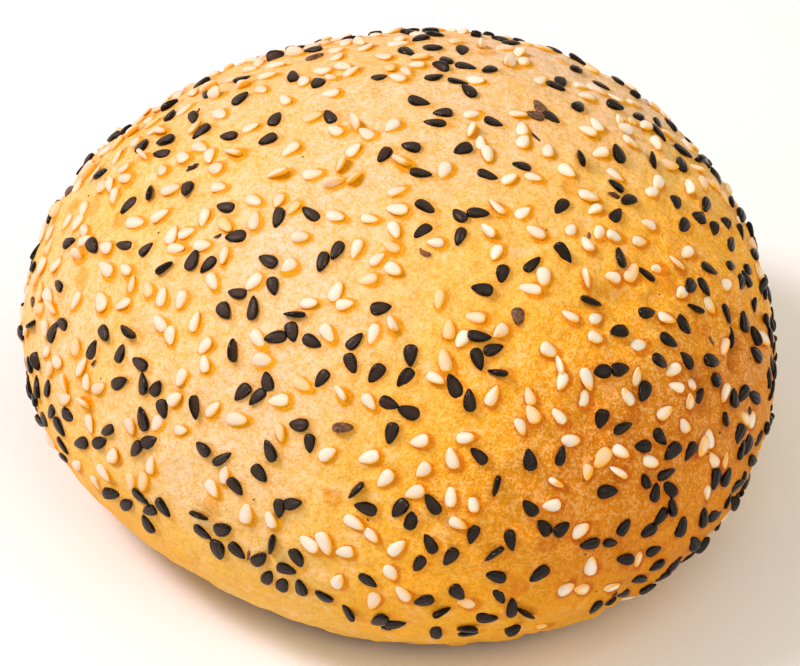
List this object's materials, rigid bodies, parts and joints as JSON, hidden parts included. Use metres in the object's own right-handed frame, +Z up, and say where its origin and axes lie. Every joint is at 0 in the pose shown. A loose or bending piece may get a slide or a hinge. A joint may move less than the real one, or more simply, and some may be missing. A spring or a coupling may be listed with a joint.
{
  "type": "bread roll",
  "caption": "Round baked bread roll with a domed crust, a flat base and sesame seeds scattered over its top and sides.",
  "frame": {"origin": "centre of the roll's outline in plan, on the flat base it stands on", "axes": "+Z up through the crown, +X along the longer side towards the fuller end, +Y across"},
  "size_m": [0.1193, 0.1122, 0.0665],
  "materials": {
    "crust": "golden baked crust, satin, finely pored",
    "black_seed": "dry black sesame hull, matt",
    "white_seed": "toasted ivory sesame hull, satin",
    "brown_seed": "brown sesame hull and chaff, matt"
  },
  "bodies": {
    "root": {"roll": "crust"}
  },
  "joints": []
}
